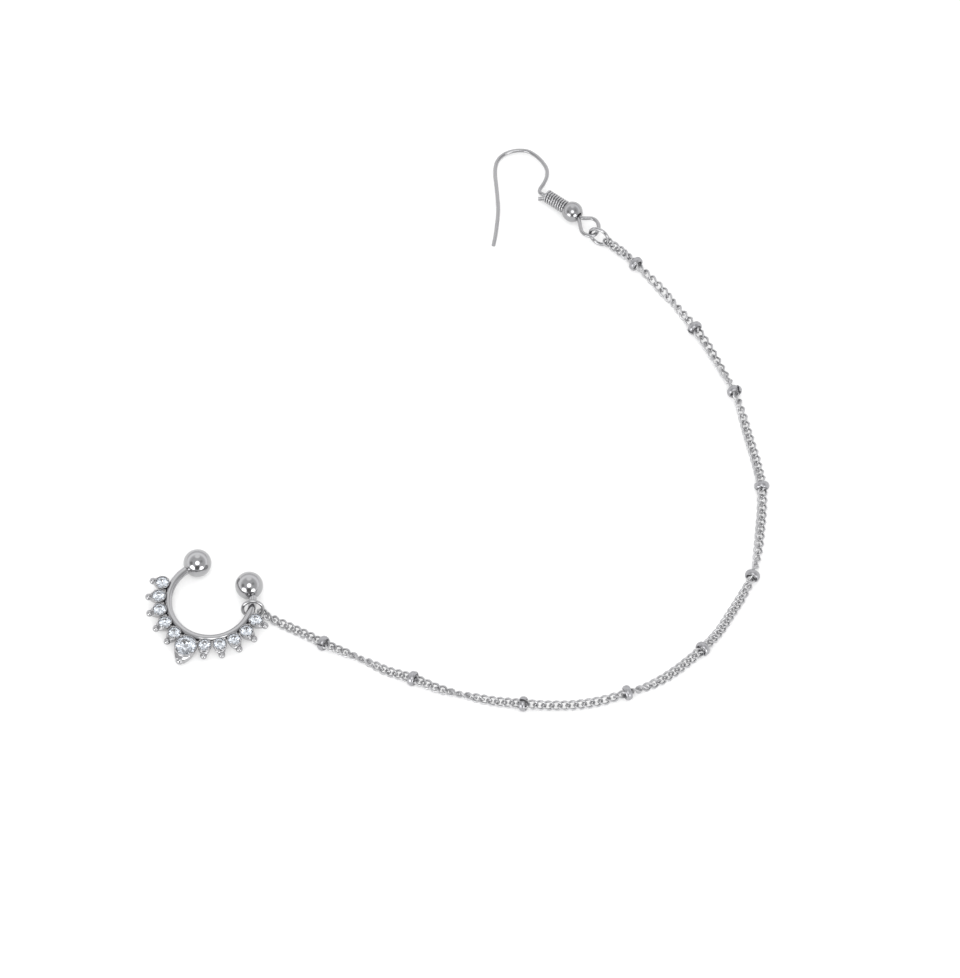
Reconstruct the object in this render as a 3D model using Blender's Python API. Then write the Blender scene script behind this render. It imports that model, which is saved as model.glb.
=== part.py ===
"""Open nose ring with a row of set stones, joined by a fine beaded chain to a French ear hook."""

from math import acos, asin, cos, degrees, pi, radians, sin

import bmesh
import bpy
from mathutils import Matrix, Vector

MM = 0.001
ENLARGE = 1000.0

# Nose ring: an open round bar, a soldered ball on each end, and cups for stones round its outer side
BAR_CIRCLE_R = 6.07 * MM
BAR_R = 0.65 * MM
BALL_R = 2.0 * MM
BALL_OFFSET = 0.08 * MM
BALL_CIRCLE_R = BAR_CIRCLE_R + BALL_OFFSET
BALL_HALF_ANGLE = 138.0
BAR_POINTS = 40
FLARE_POWER = 8

# Settings, measured in the ring's own plane, with the large stone in the middle of the row
SMALL_PER_SIDE = 5
SMALL_STAND_OFF = 1.25 * MM
LARGE_STAND_OFF = 2.18 * MM
SMALL = {
    "circle_r": BAR_CIRCLE_R + SMALL_STAND_OFF,
    "stone_r": 0.85 * MM,
    "girdle_z": 0.72 * MM,
    "bottom_z": -1.1 * MM,
    "reach": 1.28,
    "bridge_r": 0.3 * MM,
    "bridge_inset": 0.4 * MM,
    "sides": 12,
}
LARGE = {
    "circle_r": BAR_CIRCLE_R + LARGE_STAND_OFF,
    "stone_r": 1.47 * MM,
    "girdle_z": 0.82 * MM,
    "bottom_z": -1.3 * MM,
    "reach": 1.2,
    "bridge_r": 0.5 * MM,
    "bridge_inset": 0.6 * MM,
    "sides": 16,
}
SEAT_CLEARANCE = 0.1 * MM
CUP_WALL = 0.12 * MM
CUP_GAP = 0.024 * MM
CUP_OVERLAP = 0.044 * MM
CUP_RISE = 0.1 * MM
CUP_BOTTOM_SHARE = 0.48
SPUR_TIP_SHARE = 0.34
SPUR_ROOT_SHARE = 0.58
SPUR_Z_SHARE = 0.42
SPUR_DROP = 0.2 * MM
PRONG_SHARE = 0.15
PRONG_ANGLES = (50.0, 130.0, 230.0, 310.0)
BRIDGE_DROP = 0.05 * MM

# Cut of a stone, as shares of its girdle radius
STONE_SIDES = 16
TABLE_SHARE = 0.56
CROWN_SHARE = 0.30
GIRDLE_SHARE = 0.06
PAVILION_SHARE = 0.62
CULET_SHARE = 0.08

# How the ring lies: circle centre, tilt that rests it on balls and large cup, turn about the vertical
RING_DROP = 0.2 * MM
RING_CENTRE = Vector((-34.95 * MM, -29.1 * MM, BALL_R - RING_DROP))
RING_TILT = 3.1
RING_TURN = -24.5

# Jump rings
JUMP_R = 1.45 * MM
JUMP_WIRE_R = 0.25 * MM
JUMP_SIDES = 20
RING_JUMP_BAR_ANGLE = 12.7
RING_JUMP_OFFSET = Vector((0.089, -0.017, -0.152)) * MM
RING_JUMP_LEAN = 71.4
RING_JUMP_LINK_ANGLE = -30.0
HOOK_JUMP_OFFSET = Vector((0.27, -0.32, -0.179)) * MM
HOOK_JUMP_LEAN = 78.8
HOOK_JUMP_TURN = -28.4
HOOK_JUMP_LINK_ANGLE = -12.0

# Chain: a round band that takes up the links' space, narrowed under each station bead
CHAIN_R = 0.58 * MM
WAIST_R = 0.42 * MM
FLOOR_GAP = 0.02 * MM
BEAD_OUTER_R = 1.05 * MM
BEAD_CLEARANCE = 0.1 * MM
BEAD_HALF_LENGTH = 0.46 * MM
WAIST_HALF = BEAD_HALF_LENGTH + BEAD_CLEARANCE
SHOULDER = 1.0 * MM
RISE_ENDS = 4.0 * MM
BEAD_SIDES = 12

# Chain route on the surface, in millimetres: columns are x, y and whether a station bead sits there
ROUTE = (
    (-25.4, -32.1, False),
    (-23.4, -33.2, False),
    (-20.9, -34.6, False),
    (-18.9, -35.6, True),
    (-15.9, -36.8, False),
    (-12.7, -38.3, False),
    (-9.6, -39.9, False),
    (-6.2, -41.2, True),
    (-2.5, -42.7, False),
    (1.4, -43.8, False),
    (5.4, -44.7, False),
    (9.4, -45.3, True),
    (13.1, -45.4, False),
    (16.8, -45.3, False),
    (20.6, -44.6, False),
    (24.1, -43.5, True),
    (27.1, -42.3, False),
    (29.9, -40.6, False),
    (32.5, -38.5, False),
    (34.8, -36.4, True),
    (37.0, -33.7, False),
    (38.9, -30.5, False),
    (40.6, -27.5, False),
    (42.0, -24.5, True),
    (42.8, -20.7, False),
    (43.2, -17.0, False),
    (43.5, -13.4, False),
    (43.5, -9.8, True),
    (42.8, -5.7, False),
    (41.8, -1.7, False),
    (40.9, 2.1, False),
    (39.8, 5.9, True),
    (38.5, 8.7, False),
    (37.2, 11.3, False),
    (35.8, 14.0, False),
    (34.2, 16.5, True),
    (32.3, 19.3, False),
    (30.2, 22.2, False),
    (28.1, 24.8, False),
    (25.8, 27.3, True),
    (24.7, 28.5, False),
    (23.7, 29.5, False),
)

# Real links at the two ends of the chain, fused to the band
LINK_HALF_LENGTH = 0.72 * MM
LINK_HALF_WIDTH = 0.6 * MM
LINK_WIRE_R = 0.19 * MM
LINK_POINTS = 14
LINK_SLACK = 0.19 * MM
LINK_NECK = 0.5 * MM
NECK_SCALES = (0.4, 0.85)

# Ear hook, in its own plane with the bead's centre as origin
HOOK_WIRE_R = 0.275 * MM
STRAND_OFFSET = 0.24 * MM
CORE_ANGLE = -38.6
HOOK_BEAD_R = 1.5 * MM
BEAD_HOLE_CLEARANCE = 0.145 * MM
HOOK_BEAD_HOLE_R = STRAND_OFFSET + HOOK_WIRE_R + BEAD_HOLE_CLEARANCE
HOOK_ORIGIN = Vector((16.67 * MM, 35.77 * MM, HOOK_BEAD_R + FLOOR_GAP))
HOOK_TILT = -6.05
STRAND_EXIT = 0.1 * MM
STRAND_ENTRY = 0.4 * MM
RETURN_ENTRY = 0.45 * MM

# Coil of fine wire round both strands, ending just short of the bead
COIL_GAP = 0.08 * MM
COIL_LENGTH = 3.07 * MM
COIL_END = -HOOK_BEAD_R - COIL_GAP
COIL_START = COIL_END - COIL_LENGTH
COIL_TURNS = 7.5
COIL_WIRE_R = 0.165 * MM
COIL_CLEARANCE = 0.15 * MM
COIL_R = STRAND_OFFSET + HOOK_WIRE_R + COIL_CLEARANCE + COIL_WIRE_R
COIL_POINTS_PER_TURN = 9

# Hook wire from its free end over the top to the coil, in millimetres in the hook's plane
HOOK_ROUTE = (
    (-11.5, -4.98),
    (-11.26, -3.6),
    (-11.0, -1.5),
    (-10.82, 0.8),
    (-10.86, 2.4),
    (-11.0, 4.2),
    (-11.13, 5.7),
    (-11.24, 7.0),
    (-11.2, 8.25),
    (-10.88, 9.4),
    (-10.24, 10.2),
    (-9.35, 10.7),
    (-8.35, 10.93),
    (-7.4, 10.93),
    (-6.42, 10.7),
    (-5.57, 10.13),
    (-4.84, 9.4),
    (-4.12, 8.4),
    (-3.7, 7.4),
    (-3.66, 6.5),
    (-3.9, 5.62),
    (-4.28, 4.84),
    (-4.64, 4.25),
    (-4.74, 3.75),
    (-4.48, 3.35),
)

# Eye beyond the bead: the outgoing strand, and the strand that comes back to it
EYE_OUT = (
    (1.95, -1.0),
    (2.75, -1.22),
    (3.4, -1.78),
    (3.85, -2.65),
    (3.95, -3.4),
    (3.6, -4.0),
)
EYE_BACK = (
    (0.9, -1.7),
    (0.93, -2.4),
    (1.08, -3.02),
    (1.45, -3.65),
    (2.05, -4.12),
    (2.75, -4.3),
    (3.3, -4.2),
    (3.66, -3.93),
)

# Cut end of the returned strand, where it leaves the coil
TAIL = (
    (-4.95, 2.5),
    (-4.35, 2.48),
)

# The returned strand thins inside the outgoing one where they meet
INNER_END_SCALE = 0.8


def clear_scene():
    """Remove every object, mesh and curve of the start-up scene."""
    for obj in list(bpy.data.objects):
        bpy.data.objects.remove(obj, do_unlink=True)
    for block in (bpy.data.meshes, bpy.data.curves):
        for data in list(block):
            block.remove(data)


def new_collection(name, hidden=False):
    made = bpy.data.collections.new(name)
    bpy.context.scene.collection.children.link(made)
    made.hide_render = hidden
    return made


def material(name, colour, metallic, roughness):
    made = bpy.data.materials.new(name)
    made.use_nodes = True
    shader = made.node_tree.nodes["Principled BSDF"]
    shader.inputs["Base Color"].default_value = (*colour, 1.0)
    shader.inputs["Metallic"].default_value = metallic
    shader.inputs["Roughness"].default_value = roughness
    return made


def add_object(name, mesh, collection):
    made = bpy.data.objects.new(name, mesh)
    collection.objects.link(made)
    return made


def from_bmesh(name, bm, collection):
    mesh = bpy.data.meshes.new(name)
    bmesh.ops.recalc_face_normals(bm, faces=bm.faces)
    bm.to_mesh(mesh)
    bm.free()
    return add_object(name, mesh, collection)


def wire(name, points, radius, collection, resolution=2, closed=False, scales=None):
    """A round wire through the points, made a closed mesh."""
    curve = bpy.data.curves.new(name + "_curve", "CURVE")
    curve.dimensions = "3D"
    curve.bevel_depth = radius
    curve.bevel_resolution = resolution
    curve.use_fill_caps = True
    spline = curve.splines.new("POLY")
    spline.points.add(len(points) - 1)
    for index, place in enumerate(points):
        spline.points[index].co = (*place, 1.0)
        if scales:
            spline.points[index].radius = scales[index]
    spline.use_cyclic_u = closed
    guide = bpy.data.objects.new(name + "_curve", curve)
    collection.objects.link(guide)
    bpy.context.view_layer.update()
    graph = bpy.context.evaluated_depsgraph_get()
    mesh = bpy.data.meshes.new_from_object(guide.evaluated_get(graph))
    made = add_object(name, mesh, collection)
    made.matrix_world = guide.matrix_world.copy()
    bpy.data.objects.remove(guide, do_unlink=True)
    bm = bmesh.new()
    bm.from_mesh(mesh)
    bmesh.ops.remove_doubles(bm, verts=bm.verts, dist=0.000001)
    bmesh.ops.recalc_face_normals(bm, faces=bm.faces)
    bm.to_mesh(mesh)
    bm.free()
    return made


def ball(name, radius, place, collection, sides=20, rings=10):
    bm = bmesh.new()
    bmesh.ops.create_uvsphere(bm, u_segments=sides, v_segments=rings, radius=radius)
    bmesh.ops.translate(bm, verts=bm.verts, vec=place)
    return from_bmesh(name, bm, collection)


def cone_between(name, start, end, start_r, end_r, collection, sides=12):
    """A round cone or cylinder whose axis runs from start to end."""
    axis = end - start
    turn = Vector((0.0, 0.0, 1.0)).rotation_difference(axis).to_matrix().to_4x4()
    place = Matrix.Translation((start + end) / 2) @ turn
    bm = bmesh.new()
    bmesh.ops.create_cone(
        bm,
        cap_ends=True,
        segments=sides,
        radius1=start_r,
        radius2=end_r,
        depth=axis.length,
        matrix=place,
    )
    return from_bmesh(name, bm, collection)


def torus(name, major_r, minor_r, collection, sides=20, minor_sides=8, stretch=1.0):
    """A round ring about its own Z axis; stretch lengthens its section along that axis."""
    bpy.ops.mesh.primitive_torus_add(
        major_segments=sides, minor_segments=minor_sides, major_radius=major_r, minor_radius=minor_r
    )
    made = bpy.context.object
    mesh = made.data
    bpy.data.objects.remove(made, do_unlink=True)
    mesh.transform(Matrix.Scale(stretch, 4, (0.0, 0.0, 1.0)))
    return add_object(name, mesh, collection)


def boolean(target, others, operation):
    """Join the others to the target, or cut them from it, enlarged so that small faces stay apart."""
    for obj in (target, *others):
        obj.data.transform(Matrix.Scale(ENLARGE, 4))
    for index, other in enumerate(others):
        modifier = target.modifiers.new(f"{operation.lower()}_{index}", "BOOLEAN")
        modifier.operation = operation
        modifier.solver = "MANIFOLD"
        modifier.object = other
    bpy.context.view_layer.update()
    graph = bpy.context.evaluated_depsgraph_get()
    mesh = bpy.data.meshes.new_from_object(target.evaluated_get(graph))
    target.modifiers.clear()
    target.data = mesh
    mesh.transform(Matrix.Scale(1 / ENLARGE, 4))
    for other in others:
        bpy.data.objects.remove(other, do_unlink=True)


def smooth_point(before, start, end, after, share):
    """A point on the Catmull-Rom curve between start and end."""
    square = share * share
    cube = square * share
    return 0.5 * (
        2 * start
        + (end - before) * share
        + (2 * before - 5 * start + 4 * end - after) * square
        + (3 * start - before - 3 * end + after) * cube
    )


def smooth_path(points, per_span):
    """The smooth curve through hand-chosen points, with per_span pieces between each two."""
    padded = [2 * points[0] - points[1], *points, 2 * points[-1] - points[-2]]
    path = []
    for index in range(len(points) - 1):
        span = padded[index : index + 4]
        for step in range(per_span):
            path.append(smooth_point(*span, step / per_span))
    path.append(points[-1].copy())
    return path


def on_circle(radius, angle, z=0.0):
    return Vector((radius * cos(radians(angle)), radius * sin(radians(angle)), z))


def cup_radius(size):
    return size["stone_r"] + SEAT_CLEARANCE + CUP_WALL


def row_angles():
    """Angles of the small settings from the large one: small cups just part, the large one overlaps them."""
    near = SMALL["circle_r"]
    far = LARGE["circle_r"]
    first_pitch = cup_radius(SMALL) + cup_radius(LARGE) - CUP_OVERLAP
    first = acos((near**2 + far**2 - first_pitch**2) / (2 * near * far))
    step = 2 * asin((2 * cup_radius(SMALL) + CUP_GAP) / (2 * near))
    return [degrees(first + step * index) for index in range(SMALL_PER_SIDE)]


def stone_places():
    """Name, size table and angle of each setting."""
    angles = row_angles()
    places = [("stone_large", LARGE, -90.0)]
    places += [(f"stone_left_{i + 1}", SMALL, -90.0 - angles[i]) for i in range(SMALL_PER_SIDE)]
    places += [(f"stone_right_{i + 1}", SMALL, -90.0 + angles[i]) for i in range(SMALL_PER_SIDE)]
    return places


def setting_solids(label, size, collection):
    """The cup, its outward spur and its prongs, about a stone centre at the origin, spur along +X."""
    cup_r = cup_radius(size)
    low = Vector((0.0, 0.0, size["bottom_z"] - size["girdle_z"]))
    high = Vector((0.0, 0.0, CUP_RISE))
    cup = cone_between(f"{label}_cup", low, high, cup_r * CUP_BOTTOM_SHARE, cup_r, collection, size["sides"])
    spur_z = -SPUR_Z_SHARE * cup_r - SPUR_DROP
    tip_r = SPUR_TIP_SHARE * cup_r
    tip = Vector((size["reach"] * cup_r, 0.0, spur_z))
    root = Vector((0.25 * cup_r, 0.0, spur_z - 0.1 * cup_r))
    spur = cone_between(f"{label}_spur", root, tip, SPUR_ROOT_SHARE * cup_r, 0.96 * tip_r, collection, 8)
    knob = ball(f"{label}_knob", tip_r, tip, collection, 8, 5)
    solids = [cup, spur, knob]
    prong_r = PRONG_SHARE * cup_r
    for index, angle in enumerate(PRONG_ANGLES):
        foot = on_circle(cup_r - 0.5 * prong_r, angle, -0.4 * cup_r)
        head = on_circle(cup_r - 0.5 * prong_r, angle, 0.16 * cup_r + CUP_RISE)
        prong = cone_between(f"{label}_prong_{index}", foot, head, prong_r, 0.8 * prong_r, collection, 5)
        solids.append(prong)
    return solids


def seat_cutter(label, size, collection):
    """What the stone needs: a round seat that narrows below the girdle and is open upwards."""
    stone_r = size["stone_r"]
    seat_r = stone_r + SEAT_CLEARANCE
    girdle = -GIRDLE_SHARE * stone_r
    well_r = 0.3 * stone_r + SEAT_CLEARANCE
    slope = PAVILION_SHARE / (1 - CULET_SHARE)
    profile = (
        (seat_r, 1.2 * seat_r),
        (seat_r, girdle - 0.3 * SEAT_CLEARANCE),
        (well_r, girdle - 0.7 * slope * stone_r - 0.5 * SEAT_CLEARANCE),
        (well_r, girdle - PAVILION_SHARE * stone_r - 1.5 * SEAT_CLEARANCE),
    )
    sides = size["sides"]
    bm = bmesh.new()
    corners = [bm.verts.new(on_circle(radius, 180.0 / sides, z)) for radius, z in profile]
    edges = [bm.edges.new(pair) for pair in zip(corners, corners[1:])]
    bmesh.ops.spin(
        bm, geom=[*corners, *edges], axis=(0.0, 0.0, 1.0), angle=2 * pi, steps=sides, use_merge=True
    )
    bmesh.ops.remove_doubles(bm, verts=bm.verts, dist=0.000001)
    bmesh.ops.holes_fill(bm, edges=bm.edges, sides=sides)
    return from_bmesh(f"{label}_seat", bm, collection)


def build_ring(collection, cutters):
    """Bar, balls and settings as one soldered solid, about the bar circle's centre."""
    sweep = 2 * BALL_HALF_ANGLE
    points = []
    for index in range(BAR_POINTS):
        share = index / (BAR_POINTS - 1)
        angle = -90.0 - BALL_HALF_ANGLE + sweep * share
        flare = BALL_OFFSET * abs(2 * share - 1) ** FLARE_POWER
        points.append(on_circle(BAR_CIRCLE_R + flare, angle))
    ring = wire("septum_ring", points, BAR_R, collection, 4)
    added = []
    for side, angle in (("left", -90.0 - BALL_HALF_ANGLE), ("right", -90.0 + BALL_HALF_ANGLE)):
        added.append(ball(f"ball_{side}", BALL_R, on_circle(BALL_CIRCLE_R, angle), cutters, 20, 10))
    seats = []
    for label, size, angle in stone_places():
        place = Matrix.Translation(on_circle(size["circle_r"], angle, size["girdle_z"]))
        place = place @ Matrix.Rotation(radians(angle), 4, "Z")
        solids = setting_solids(label, size, cutters)
        seat = seat_cutter(label, size, cutters)
        for solid in (*solids, seat):
            solid.data.transform(place)
        inner = on_circle(BAR_CIRCLE_R, angle, -BRIDGE_DROP)
        outer = on_circle(size["circle_r"] - size["bridge_inset"], angle, -BRIDGE_DROP)
        bridge_r = size["bridge_r"]
        added += [*solids, cone_between(f"{label}_bridge", inner, outer, bridge_r, bridge_r, cutters, 10)]
        seats.append(seat)
    boolean(ring, added, "UNION")
    boolean(ring, seats, "DIFFERENCE")
    return ring


def build_stone(name, size, collection):
    """A round cut stone: table, crown, girdle and a pavilion with a small flat culet."""
    radius = size["stone_r"]
    crown = CROWN_SHARE * radius
    girdle = GIRDLE_SHARE * radius
    profile = (
        (TABLE_SHARE * radius, crown, STONE_SIDES // 2),
        (radius, 0.0, STONE_SIDES),
        (radius, -girdle, STONE_SIDES),
        (CULET_SHARE * radius, -girdle - PAVILION_SHARE * radius, STONE_SIDES),
    )
    bm = bmesh.new()
    for ring_r, z, sides in profile:
        for step in range(sides):
            bm.verts.new(on_circle(ring_r, 360.0 * step / sides, z))
    bmesh.ops.convex_hull(bm, input=bm.verts)
    bmesh.ops.dissolve_limit(bm, angle_limit=radians(0.5), verts=bm.verts, edges=bm.edges)
    return from_bmesh(name, bm, collection)


def chain_height(gap_to_bead):
    """Height of the band's middle: raised where a bead props it, lying on the surface elsewhere."""
    rest = CHAIN_R + FLOOR_GAP
    raised = BEAD_OUTER_R + FLOOR_GAP
    share = min(1.0, max(0.0, (gap_to_bead - SHOULDER) / (RISE_ENDS - SHOULDER)))
    ease = share * share * (3 - 2 * share)
    return raised + (rest - raised) * ease


def chain_plan():
    """Points and radius scales along the band, and each bead's place and direction."""
    flat = [Vector((x, y, 0.0)) * MM for x, y, _ in ROUTE]
    stations = [index for index, row in enumerate(ROUTE) if row[2]]
    beads = []
    for index in stations:
        along = (flat[index + 1] - flat[index - 1]).normalized()
        place = flat[index] + Vector((0.0, 0.0, BEAD_OUTER_R + FLOOR_GAP))
        beads.append((place, along))
    waist = WAIST_R / CHAIN_R
    points = []
    for index, start in enumerate(flat):
        if index in stations:
            place, along = beads[stations.index(index)]
            near = ((-SHOULDER, 1.0), (-WAIST_HALF, waist), (WAIST_HALF, waist), (SHOULDER, 1.0))
            points += [(place + along * shift, scale) for shift, scale in near]
            continue
        gap = min((start - flat[other]).length for other in stations)
        points.append((start + Vector((0.0, 0.0, chain_height(gap))), 1.0))
    return points, beads


def end_link(name, centre, along, normal, collection):
    """An oval link whose plane is square to the normal, long along the chain."""
    forward = along.normalized()
    across = normal.cross(forward).normalized()
    points = []
    for index in range(LINK_POINTS):
        angle = 2 * pi * index / LINK_POINTS
        place = forward * LINK_HALF_LENGTH * cos(angle) + across * LINK_HALF_WIDTH * sin(angle)
        points.append(centre + place)
    return wire(name, points, LINK_WIRE_R, collection, 1, True)


def jump_frame(lean, turn):
    """Axes of a leaning jump ring: across, up in its own plane, and the ring's own axis."""
    matrix = Matrix.Rotation(radians(turn), 3, "Z") @ Matrix.Rotation(radians(lean), 3, "X")
    return matrix.col[0].copy(), matrix.col[1].copy(), matrix.col[2].copy()


def ring_jump_centre():
    """Middle of the jump ring that hangs on the bar."""
    turn = Matrix.Rotation(radians(RING_TURN), 3, "Z") @ Matrix.Rotation(radians(RING_TILT), 3, "X")
    return RING_CENTRE + turn @ on_circle(BAR_CIRCLE_R, RING_JUMP_BAR_ANGLE) + RING_JUMP_OFFSET


def hook_jump_centre():
    """Middle of the jump ring that hangs in the hook's eye."""
    eye_end = Vector((*EYE_OUT[-1], 0.0)) * MM
    return HOOK_ORIGIN + Matrix.Rotation(radians(HOOK_TILT), 3, "Y") @ eye_end + HOOK_JUMP_OFFSET


def link_at(centre, lean, turn, angle, toward):
    """Centre, direction and normal of the link that hooks a jump ring at the angle."""
    across, up, _ = jump_frame(lean, turn)
    wire_place = centre + JUMP_R * (across * cos(radians(angle)) + up * sin(radians(angle)))
    tangent = up * cos(radians(angle)) - across * sin(radians(angle))
    along = toward - wire_place
    along -= tangent * along.dot(tangent)
    along.normalize()
    return wire_place + along * LINK_SLACK, along, tangent


def build_chain(collection, cutters):
    """The band with a real link fused on each end, and the beads round its waists."""
    points, beads = chain_plan()
    starts = link_at(ring_jump_centre(), RING_JUMP_LEAN, 0.0, RING_JUMP_LINK_ANGLE, points[0][0])
    ends = link_at(hook_jump_centre(), HOOK_JUMP_LEAN, HOOK_JUMP_TURN, HOOK_JUMP_LINK_ANGLE, points[-1][0])
    reach = LINK_HALF_LENGTH + LINK_WIRE_R + LINK_NECK
    path = [starts[0] + starts[1] * LINK_HALF_LENGTH, starts[0] + starts[1] * reach]
    path += [place for place, _ in points]
    path += [ends[0] + ends[1] * reach, ends[0] + ends[1] * LINK_HALF_LENGTH]
    scales = [*NECK_SCALES, *(scale for _, scale in points), *reversed(NECK_SCALES)]
    chain = wire("satellite_chain", path, CHAIN_R, collection, 2, False, scales)
    links = [end_link(f"link_{n}", *side, cutters) for n, side in (("start", starts), ("end", ends))]
    boolean(chain, links, "UNION")
    made = []
    inner_r = WAIST_R + BEAD_CLEARANCE
    minor = (BEAD_OUTER_R - inner_r) / 2
    stretch = BEAD_HALF_LENGTH / minor
    for index, (place, along) in enumerate(beads):
        name = f"station_bead_{index + 1:02d}"
        bead = torus(name, inner_r + minor, minor, collection, BEAD_SIDES, 8, stretch)
        bead.location = place
        bead.rotation_euler = Vector((0.0, 0.0, 1.0)).rotation_difference(along).to_euler()
        made.append(bead)
    return chain, made


def core_point(distance, offset):
    """A point on one strand inside the coil and bead, in the hook's plane."""
    forward = on_circle(1.0, CORE_ANGLE)
    side = on_circle(1.0, CORE_ANGLE + 90.0)
    return forward * distance + side * offset


def build_hook(collection, cutters):
    """The hook wire with its eye and cut tail, the coil wound round it, and the bead."""
    hook = [Vector((x, y, 0.0)) * MM for x, y in HOOK_ROUTE]
    out = [Vector((x, y, 0.0)) * MM for x, y in EYE_OUT]
    back = [Vector((x, y, 0.0)) * MM for x, y in EYE_BACK]
    first = [*hook, core_point(COIL_START + STRAND_ENTRY, STRAND_OFFSET), core_point(0.0, STRAND_OFFSET)]
    first += [core_point(HOOK_BEAD_R + STRAND_EXIT, STRAND_OFFSET), *out]
    tail = [Vector((x, y, 0.0)) * MM for x, y in TAIL]
    second = [*tail, core_point(COIL_START + RETURN_ENTRY, -STRAND_OFFSET), core_point(0.0, -STRAND_OFFSET)]
    second += [core_point(HOOK_BEAD_R + STRAND_EXIT, -STRAND_OFFSET), *back]
    second_path = smooth_path(second, 2)
    scales = [1.0] * (len(second_path) - 3) + [0.95, INNER_END_SCALE, INNER_END_SCALE]
    ear_wire = wire("ear_hook", smooth_path(first, 2), HOOK_WIRE_R, collection)
    strand = wire("return_strand", second_path, HOOK_WIRE_R, cutters, 2, False, scales)
    boolean(ear_wire, [strand], "UNION")
    coil_points = []
    count = int(COIL_TURNS * COIL_POINTS_PER_TURN)
    for index in range(count + 1):
        turn = 2 * pi * index / COIL_POINTS_PER_TURN
        along = COIL_START + (COIL_END - COIL_START) * index / count
        place = core_point(along, COIL_R * cos(turn))
        place.z = COIL_R * sin(turn)
        coil_points.append(place)
    coil = wire("hook_coil", coil_points, COIL_WIRE_R, collection)
    bead = ball("hook_bead", HOOK_BEAD_R, Vector((0.0, 0.0, 0.0)), collection)
    far = core_point(2 * HOOK_BEAD_R, 0.0)
    hole = cone_between("bead_hole", -far, far, HOOK_BEAD_HOLE_R, HOOK_BEAD_HOLE_R, cutters, 16)
    boolean(bead, [hole], "DIFFERENCE")
    return ear_wire, coil, bead


def build_jump_ring(name, centre, lean, turn, collection):
    made = torus(name, JUMP_R, JUMP_WIRE_R, collection, JUMP_SIDES)
    made.location = centre
    made.rotation_euler = (radians(lean), 0.0, radians(turn))
    return made


def hang_on(parent, objects):
    for obj in objects:
        obj.parent = parent


def new_empty(name, collection, location=(0.0, 0.0, 0.0), rotation=(0.0, 0.0, 0.0)):
    made = bpy.data.objects.new(name, None)
    made.location = location
    made.rotation_euler = rotation
    collection.objects.link(made)
    return made


def centre_on_floor(root, objects):
    """Move the root so that the whole object is centred and stands on the surface."""
    bpy.context.view_layer.update()
    corners = [obj.matrix_world @ v.co for obj in objects for v in obj.data.vertices]
    low = Vector([min(c[axis] for c in corners) for axis in range(3)])
    high = Vector([max(c[axis] for c in corners) for axis in range(3)])
    root.location = (-(low.x + high.x) / 2, -(low.y + high.y) / 2, -low.z)
    bpy.context.view_layer.update()
    print("moved by", [round(v / MM, 3) for v in root.location])


def finish(obj, look):
    obj.data.materials.clear()
    obj.data.materials.append(look)
    obj.data.shade_smooth()
    obj.data.set_sharp_from_angle(angle=radians(40.0))


def main():
    clear_scene()
    collection = new_collection("fake_septum_chain")
    cutters = new_collection("cutters", True)
    silver = (0.78, 0.78, 0.79)
    root = new_empty("chain_root", collection)
    ring_frame = new_empty(
        "ring_frame", collection, RING_CENTRE, (radians(RING_TILT), 0.0, radians(RING_TURN))
    )
    hook_frame = new_empty(
        "hook_frame", collection, HOOK_ORIGIN, (0.0, radians(HOOK_TILT), 0.0)
    )
    ring = build_ring(collection, cutters)
    stones = []
    for label, size, angle in stone_places():
        stone = build_stone(label, size, collection)
        stone.location = on_circle(size["circle_r"], angle, size["girdle_z"])
        stone.rotation_euler.z = radians(angle)
        stones.append(stone)
    hang_on(ring_frame, [ring, *stones])
    chain, beads = build_chain(collection, cutters)
    ring_jump = build_jump_ring("ring_jump_ring", ring_jump_centre(), RING_JUMP_LEAN, 0.0, collection)
    hook_jump = build_jump_ring(
        "hook_jump_ring", hook_jump_centre(), HOOK_JUMP_LEAN, HOOK_JUMP_TURN, collection
    )
    ear_wire, coil, hook_bead = build_hook(collection, cutters)
    hang_on(hook_frame, [ear_wire, coil, hook_bead])
    hang_on(root, [ring_frame, hook_frame, chain, *beads, ring_jump, hook_jump])
    metals = [ring, chain, *beads, ring_jump, hook_jump, ear_wire, coil, hook_bead]
    for obj in metals:
        finish(obj, material(f"{obj.name}_metal", silver, 1.0, 0.16))
    for obj in stones:
        finish(obj, material(f"{obj.name}_crystal", (0.86, 0.9, 0.95), 0.0, 0.04))
        obj.data.set_sharp_from_angle(angle=radians(5.0))
    centre_on_floor(root, [*metals, *stones])


main()
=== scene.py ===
from math import atan2, cos, degrees, pi, radians, sin, sqrt

import bmesh
import bpy
from mathutils import Matrix, Vector


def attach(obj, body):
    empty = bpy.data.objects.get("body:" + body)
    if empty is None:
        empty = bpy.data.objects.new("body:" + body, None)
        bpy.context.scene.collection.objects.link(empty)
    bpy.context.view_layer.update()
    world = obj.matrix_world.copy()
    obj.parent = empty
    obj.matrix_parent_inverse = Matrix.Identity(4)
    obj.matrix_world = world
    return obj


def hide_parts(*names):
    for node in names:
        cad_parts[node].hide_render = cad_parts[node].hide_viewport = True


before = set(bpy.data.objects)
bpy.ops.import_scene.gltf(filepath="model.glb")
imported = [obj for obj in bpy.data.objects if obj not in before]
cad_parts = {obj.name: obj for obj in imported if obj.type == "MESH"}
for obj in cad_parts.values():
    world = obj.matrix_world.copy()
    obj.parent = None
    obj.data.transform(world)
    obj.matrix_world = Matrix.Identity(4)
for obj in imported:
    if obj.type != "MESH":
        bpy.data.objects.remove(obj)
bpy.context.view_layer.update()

mm = 0.001
packShift = Vector((-0.29, -0.331, -0.012))  # from the numbers below, in mm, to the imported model

# camera: above and in front of the chain, as the photo was taken (metres and degrees, lens and sensor in mm)
camera = {
    "aim": (0.002996, -0.010064, -0.000012),
    "distance": 1.5,
    "height": 60.0,
    "lens": 393.75,
    "sensor": 36.0,
    "clip": (0.05, 20.0),
}
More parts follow.
